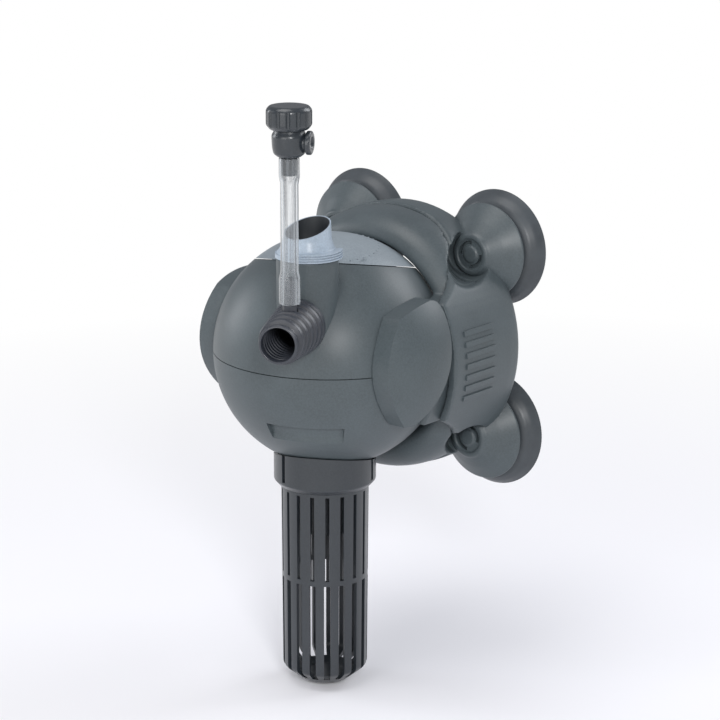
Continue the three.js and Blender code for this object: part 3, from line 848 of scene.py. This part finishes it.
class FILTER_OT_regulator(PieceOperator, bpy.types.Operator):
    """The light sleeve that sets the flow, with its ridged finger tab"""

    bl_idname = "filter.regulator"
    bl_label = "Flow regulator"

    def build(self, sizes, finish):
        top = sizes.tower_top
        outer = sizes.tower_bore - GAP
        profile = [(outer - 1.3, 9), (outer, 9), (outer, top + GAP), (sizes.tower_r, top + GAP)]
        profile += [(sizes.tower_r, top + 1.6), (8.9, top + 3.4), (7.9, 45), (7.6, 52), (7, 52), (7.1, 45)]
        profile += [(6.9, top + 1.8), (outer - 1.3, top + 1.8)]
        made = solid(lathe(soften(profile, 0.5, closed=True), closed=True))
        join(made, rod(outer - 0.5, top - 0.6, top + 0.8))
        join(made, ring(10.6, 8, top + GAP, top + 1.7))
        cut(made, block(-5.6, 5.6, -12, 0, 11.5, 24.5))
        scoop = shift(spun(spun(block(-20, 20, -20, 20, 0, 20), 20, "X"), -30, "Z"), z=48.2)
        cut(made, scoop)
        ease(made, 0.2)
        join(made, self.tab(top + GAP, top + 3.2))
        carry(made, WELL_Y)
        finish_piece(
            made, "flow_sleeve", HEAD, "regulator", ["regulator_sleeve"], finish["sleeve"]
        )

    def tab(self, low, high):
        """A finger tab with level grooves along its outer edge."""
        tab = solid(sector(11.6, 8.6, -95, 12, low, high))
        grooves, pitch, width = 3, 0.8, 0.36
        for i in range(grooves):
            at = low + 0.5 + pitch * i
            cut(tab, ring(12.5, 11.1, at, at + width))
        return ease(tab, 0.07)


class FILTER_OT_nozzle(PieceOperator, bpy.types.Operator):
    """The ribbed nozzle, the ring round its root and the air spigot on it"""

    bl_idname = "filter.nozzle"
    bl_label = "Nozzle"
    root, tip = 43.4, 66.0

    def profile(self, sizes):
        pitch = (self.tip - 2 - self.root) / sizes.ribs
        line = [(sizes.nozzle_bore, 38.6), (5.7, 38.6), (5.7, 41.2), (6.6, 41.2), (6.6, self.root)]
        for i in range(sizes.ribs):
            at = self.root + i * pitch
            crest = 9 - 0.34 * i
            line += [(crest - 1.7, at), (crest - 0.2, at + 0.35), (crest, at + pitch * 0.3)]
            line += [(crest - 0.3, at + pitch * 0.62), (crest - 1.8, at + pitch * 0.74)]
        line += [(6.4, self.tip - 1.6), (6.4, self.tip - 0.3), (sizes.nozzle_bore + 0.3, self.tip)]
        for i in range(9):
            at = self.tip - 1.5 - 2.2 * i
            line += [(sizes.nozzle_bore, at), (sizes.nozzle_bore, at - 0.6)]
            line += [(sizes.nozzle_bore + 0.5, at - 0.9), (sizes.nozzle_bore + 0.5, at - 1.9)]
        return soften(line, 0.25, 3, closed=True)

    def build(self, sizes, finish):
        made = solid(shift(forward(lathe(self.profile(sizes), closed=True)), z=NOZZLE_Z))
        cut(made, shift(rod(2.7, NOZZLE_Z, 40), y=TUBE_Y))
        finish_piece(
            made, "ribbed_nozzle", HEAD, "nozzle", ["outlet_nozzle"], finish["nozzle"]
        )
        rim = [(7, -WELL_Y + sizes.tower_r + GAP), (9, -WELL_Y + sizes.tower_r + GAP), (9, 43), (7, 43)]
        collar = solid(shift(forward(lathe(soften(rim, 0.5, closed=True), closed=True)), z=NOZZLE_Z))
        finish_piece(
            collar, "nozzle_root_ring", HEAD, "ball", ["nozzle_ring"], finish["nozzle"]
        )
        base = NOZZLE_Z + sizes.nozzle_bore + 0.1
        barb = [(1.1, base), (2.3, base), (2.3, 27.6), (1.75, 28.4), (1.75, 30), (1.95, 30.4), (1.7, 32.6)]
        barb += [(1.95, 33), (1.6, 35.6), (1.5, 36.6), (1.1, 36.6)]
        spigot = solid(shift(lathe(soften(barb, 0.12, closed=True), closed=True, steps=48), y=TUBE_Y))
        finish_piece(spigot, "air_barb", HEAD, "nozzle", ["air_spigot"], finish["nozzle"])


class FILTER_OT_air_line(PieceOperator, bpy.types.Operator):
    """The clear air line, its needle valve and the fluted knob"""

    bl_idname = "filter.air_line"
    bl_label = "Air line"

    def tube(self, finish):
        low, high = ball_height("air_tube", 0), ball_height("air_tube", 1)
        line = [(2.3, low), (3.45, low), (3.45, 36.2), (2.9, 38.6), (2.9, 67), (3.35, 69.4), (3.35, high)]
        line += [(2.75, high), (2.75, 69.2), (2, 67.6), (2, 38.6), (2.3, 36.6)]
        made = solid(shift(lathe(soften(line, 0.6, closed=True), closed=True, steps=64), y=TUBE_Y))
        finish_piece(made, "clear_air_tube", HEAD, "nozzle", ["air_tube"], finish["clear"])

    def valve(self, finish):
        line = [(0, 69.5), (2.2, 69.5), (2.6, 70.4), (2.6, 75.5), (3.6, 75.5), (5, 76.6), (5.4, 78.6)]
        line += [(5.6, 82.4), (4.9, 83.6)]
        made = solid(lathe(soften(line + [(4.3, 86), (0, 86)], 0.6)))
        inlet = [(0, 0), (2.6, 0), (2.6, 5.6), (3.8, 5.9), (3.8, 7.2), (3.2, 7.5), (2, 7.5)]
        inlet += [(1.2, 6.6), (0, 6.6)]
        join(made, shift(along_x(lathe(soften(inlet, 0.3), steps=64)), z=80.2))
        cut(made, rod(1.75, 77, 90), shift(along_x(rod(1.1, 0, 10, 32)), z=80.2), rod(1, 60, 80, 32))
        carry(made, TUBE_Y)
        finish_piece(
            made, "needle_valve_body", HEAD, "nozzle", ["valve_body"], finish["smooth_dark"]
        )

    def knob(self, sizes, finish):
        low, high, radius = ball_height("air_knob", 0), ball_height("air_knob", 1), 7.3
        line = [(0, low + 2.4), (4.6, low + 2.4), (4.6, low), (6, low), (radius, low + 1.6)]
        line += [(radius, high - 1.3), (radius - 0.9, high - 0.2), (radius - 1.6, high), (0, high)]
        made = solid(lathe(soften(line, 0.6)))
        grooves = [
            spun(shift(rod(0.75, low - 1, high - 1.2, 20), x=radius + 0.2), 360 * i / sizes.flutes, "Z")
            for i in range(sizes.flutes)
        ]
        cut(made, together(grooves), rod(1.6, 80, high - 2.6, 32))
        ease(made, 0.15)
        carry(made, TUBE_Y)
        finish_piece(
            made, "fluted_air_knob", HEAD, "air_valve", ["air_knob"], finish["smooth_dark"]
        )

    def build(self, sizes, finish):
        self.tube(finish)
        self.valve(finish)
        self.knob(sizes, finish)


class FILTER_OT_strainer(PieceOperator, bpy.types.Operator):
    """The slotted strainer and the collar that snaps onto the intake"""

    bl_idname = "filter.strainer"
    bl_label = "Strainer"

    def collar(self, sizes, finish):
        seat, outer = sizes.basket_r + 0.4, 17.5
        low = ball_height("strainer_collar", 0)
        line = [(seat, low), (outer - 1.6, low), (outer, low + 1.8), (outer, -30), (13.4, -30)]
        line += [(13.4, -42.4), (seat, -42.4)]
        made = solid(shift(lathe(soften(line, 0.4, closed=True), closed=True), y=AXIS_Y))
        cut(made, sphere(BALL_R + 0.5))
        for turn in (-8.8, 111.2, 231.2):
            slit = block(10, 20, -0.8, 0.8, -42.4, -20)
            cut(made, shift(spun(slit, turn, "Z"), y=AXIS_Y))
        ease(made, 0.15)
        finish_piece(
            made, "snap_collar", HEAD, "strainer", ["strainer_collar"], finish["smooth_dark"]
        )

    def basket(self, sizes, finish):
        low, outer = ball_height("strainer_basket", 0), sizes.basket_r
        inner = outer - 1.5
        line = [(0, low), (8, low), (outer - 0.4, -110.8), (outer, -42.8), (inner, -42.8)]
        line += [(inner - 0.2, -110.2), (7.2, low + 1.6), (0, low + 1.6)]
        made = solid(lathe(soften(line, 1.2)))
        for half, top, bottom in ((0.7, -46.4, -76.4), (1.1, -78.2, -113.8)):
            slots = [
                spun(block(9.8, 20, -half, half, bottom, top), 360 * i / sizes.slots + 7.7, "Z")
                for i in range(sizes.slots)
            ]
            cut(made, together(slots))
        ease(made, 0.12, 1)
        carry(made, AXIS_Y)
        finish_piece(
            made, "slotted_basket", HEAD, "strainer", ["strainer_basket"],
            finish["smooth_dark"],
        )

    def build(self, sizes, finish):
        self.collar(sizes, finish)
        self.basket(sizes, finish)


class FILTER_OT_inner_pieces(PieceOperator, bpy.types.Operator):
    """Finishes for the motor, the rotor, the seals and the other pieces that keep their plain shapes"""

    bl_idname = "filter.inner_pieces"
    bl_label = "Motor, rotor and seals"

    def build(self, sizes, finish):
        kinds = {
            "smooth_dark": ("rotor_can", "volute_housing", "impeller", "intake_pipe", "air_needle"),
            "seal": (
                "shell_seal", "shaft_bush_top", "shaft_bush_bottom", "cable_gland", "ear_pad_left",
                "ear_pad_right",
            ),
            "steel": ("stator_core",),
            "copper": ("stator_coil_left", "stator_coil_right"),
            "ceramic": ("rotor_shaft",),
            "magnet": ("rotor_magnet",),
        }
        for kind, names in kinds.items():
            for name in names:
                node = frame["nodes"][name]
                node.data.materials.clear()
                node.data.materials.append(finish[kind])


class FILTER_OT_studio(bpy.types.Operator):
    """The camera, the soft lamps and the pale floor"""

    bl_idname = "filter.studio"
    bl_label = "Studio"

    def execute(self, context):
        studio = context.scene.filter_studio
        self.camera(context, studio)
        self.lamps(context, studio)
        self.floor()
        self.sky(context)
        return {"FINISHED"}

    def camera(self, context, studio):
        turn, lift = math.radians(studio.azimuth), math.radians(studio.elevation)
        out = Vector((math.sin(turn) * math.cos(lift), -math.cos(turn) * math.cos(lift), math.sin(lift)))
        data = bpy.data.cameras.new("camera")
        data.lens = studio.lens
        data.shift_x, data.shift_y = 0.041, -0.016
        made = bpy.data.objects.new("camera", data)
        made.location = BALL + out * studio.distance
        made.rotation_euler = (-out).to_track_quat("-Z", "Y").to_euler()
        context.scene.collection.objects.link(made)
        context.scene.camera = made

    def lamps(self, context, studio):
        lamps = (
            ("overhead", (-0.1, -0.35, 1.1), 0.7, 0.34, (1, 0.99, 0.98)),
            ("front", (0.15, -1.15, 0.25), 0.6, 0.2, (1, 0.99, 0.97)),
            ("softbox", (0.8, -0.7, 0.45), 0.2, 0.34, (1, 1, 1)),
            ("back", (0.35, 0.9, 0.6), 0.6, 0.3, (0.95, 0.97, 1)),
            ("left", (-1.1, -0.35, 0.3), 0.5, 0.22, (0.95, 0.97, 1)),
        )
        for name, place, size, share, colour in lamps:
            data = bpy.data.lights.new(name, "AREA")
            data.size = size
            data.energy = studio.key * share
            data.color = colour
            made = bpy.data.objects.new(name, data)
            made.location = BALL + Vector(place)
            made.rotation_euler = (-Vector(place)).to_track_quat("-Z", "Y").to_euler()
            context.scene.collection.objects.link(made)

    def floor(self):
        bm = bmesh.new()
        bmesh.ops.create_circle(bm, cap_ends=True, radius=6, segments=64)
        made = solid(bm, "floor")
        made.data.transform(Matrix.Translation((0, 0, CAD_BOX[0][2] - 0.001)))
        made.data.materials.append(self.floor_finish())

    def floor_finish(self):
        """Pale near the filter, and white further off."""
        graph = Graph("Pale floor")
        shade = graph.ramp(graph.noise(3, 2), 0.3, 0.7)
        base = graph.mix(shade, (0.86, 0.855, 0.9, 1), (0.9, 0.895, 0.94, 1))
        matt = graph.node("ShaderNodeBsdfPrincipled", inputs={"Base Color": base, "Roughness": 0.6})
        white = graph.node("ShaderNodeEmission", inputs={"Color": (1, 1, 1, 1), "Strength": 1.0})
        middle_out = {0: graph.place()}
        reach = graph.node("ShaderNodeVectorMath", {"operation": "LENGTH"}, middle_out, output="Value")
        far = graph.ramp(reach, 0.1, 0.5)
        graph.node_output(graph.node("ShaderNodeMixShader", inputs={0: far, 1: matt, 2: white}))
        return graph.material

    def sky(self, context):
        """A white backdrop that lights the filter only softly."""
        world = bpy.data.worlds.new("studio")
        world.use_nodes = True
        tree = world.node_tree
        soft, seen = tree.nodes["Background"], tree.nodes.new("ShaderNodeBackground")
        soft.inputs["Color"].default_value = (0.93, 0.95, 1, 1)
        soft.inputs["Strength"].default_value = 0.33
        seen.inputs["Color"].default_value = (1, 1, 1, 1)
        choice, path = tree.nodes.new("ShaderNodeMixShader"), tree.nodes.new("ShaderNodeLightPath")
        tree.links.new(path.outputs["Is Camera Ray"], choice.inputs[0])
        tree.links.new(soft.outputs[0], choice.inputs[1])
        tree.links.new(seen.outputs[0], choice.inputs[2])
        tree.links.new(choice.outputs[0], tree.nodes["World Output"].inputs["Surface"])
        context.scene.world = world
        context.scene.view_settings.view_transform = "Standard"


class FILTER_PT_panel(bpy.types.Panel):
    """Lists the steps of the model"""

    bl_idname = "FILTER_PT_panel"
    bl_label = "Aquarium ball filter"
    bl_space_type = "VIEW_3D"
    bl_region_type = "UI"
    bl_category = "Filter"

    def draw(self, context):
        for group in ("filter_sizes", "filter_colours", "filter_studio"):
            settings = getattr(context.scene, group)
            box = self.layout.box()
            for key in settings.bl_rna.properties.keys()[2:]:
                box.prop(settings, key)
        for step in STEPS:
            self.layout.operator(step.bl_idname)


STEPS = (
    FILTER_OT_studio, FILTER_OT_bracket, FILTER_OT_cradle, FILTER_OT_cups, FILTER_OT_upper_shell,
    FILTER_OT_lower_shell, FILTER_OT_scale_cap, FILTER_OT_regulator, FILTER_OT_nozzle, FILTER_OT_air_line,
    FILTER_OT_strainer, FILTER_OT_inner_pieces,
)
GROUPS = {
    "filter_sizes": FILTER_PG_sizes, "filter_colours": FILTER_PG_colours, "filter_studio": FILTER_PG_studio,
}


def register():
    for made in (*GROUPS.values(), *STEPS, FILTER_PT_panel):
        bpy.utils.register_class(made)
    for name, group in GROUPS.items():
        setattr(bpy.types.Scene, name, PointerProperty(type=group))


def unregister():
    for name in GROUPS:
        delattr(bpy.types.Scene, name)
    for made in (FILTER_PT_panel, *reversed(STEPS), *reversed(GROUPS.values())):
        bpy.utils.unregister_class(made)


def main():
    register()
    for step in STEPS:
        group, name = step.bl_idname.split(".")
        getattr(getattr(bpy.ops, group), name)()


if __name__ == "__main__":
    main()
